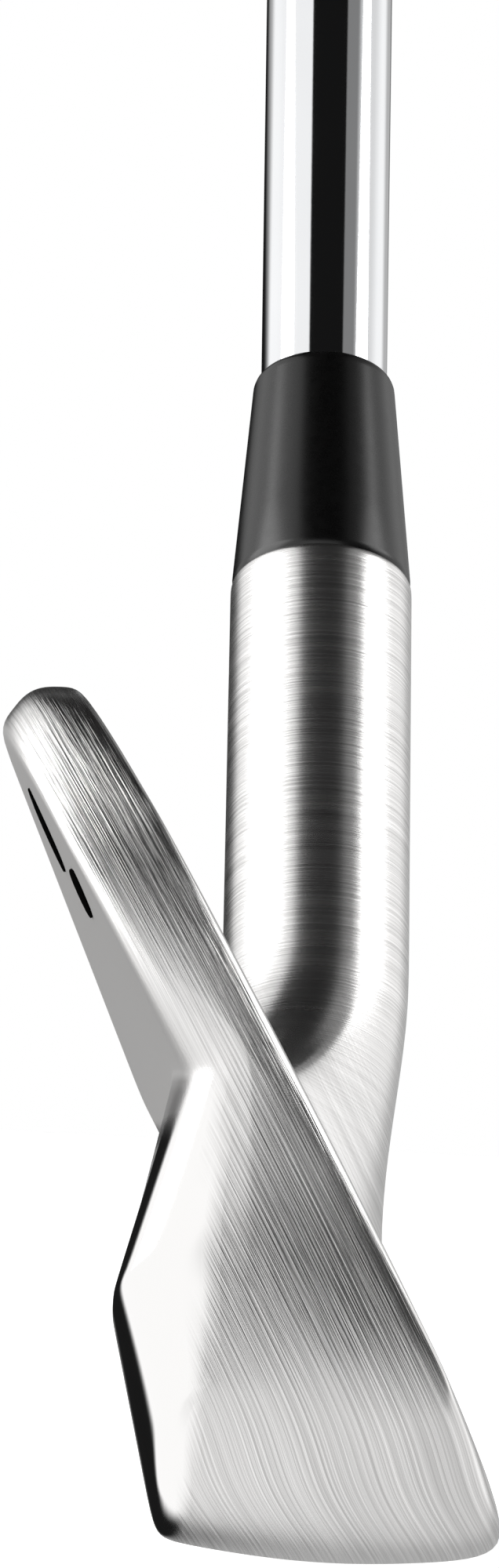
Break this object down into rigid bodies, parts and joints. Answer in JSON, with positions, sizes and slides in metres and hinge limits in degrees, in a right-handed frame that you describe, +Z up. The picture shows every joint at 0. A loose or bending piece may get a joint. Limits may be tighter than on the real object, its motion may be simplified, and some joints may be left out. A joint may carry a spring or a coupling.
{
  "type": "iron golf club",
  "caption": "Forged muscle-back iron golf club: brushed head, black tapered ferrule, stepped chrome shaft and black rubber grip.",
  "frame": {"origin": "the point where the shaft's axis meets the ground at address", "axes": "+Z up from the ground, -X towards the toe, -Y the way the striking face looks; the shaft leans towards +X"},
  "size_m": [0.5286, 0.0391, 0.8501],
  "materials": {
    "forged_steel": "brushed face, toe and sole, polished muscle, satin upper back",
    "paint_fill": "black paint fill",
    "epoxy": "cured two-part epoxy",
    "ferrule_plastic": "turned and polished cellulose acetate",
    "chrome_steel": "nickel-chrome plate",
    "brass": "turned",
    "band_film": null,
    "tape_paper": "double-sided crepe paper tape",
    "grip_rubber": "moulded rubber with a fine texture"
  },
  "bodies": {
    "root": {"head": "forged_steel", "back_mark": "paint_fill", "hosel_epoxy": "epoxy", "ferrule": "ferrule_plastic", "shaft": "chrome_steel", "tip_plug": "brass", "shaft_band": "band_film", "grip_tape": "tape_paper", "grip_sleeve": "grip_rubber", "grip_cap": "grip_rubber"}
  },
  "joints": []
}
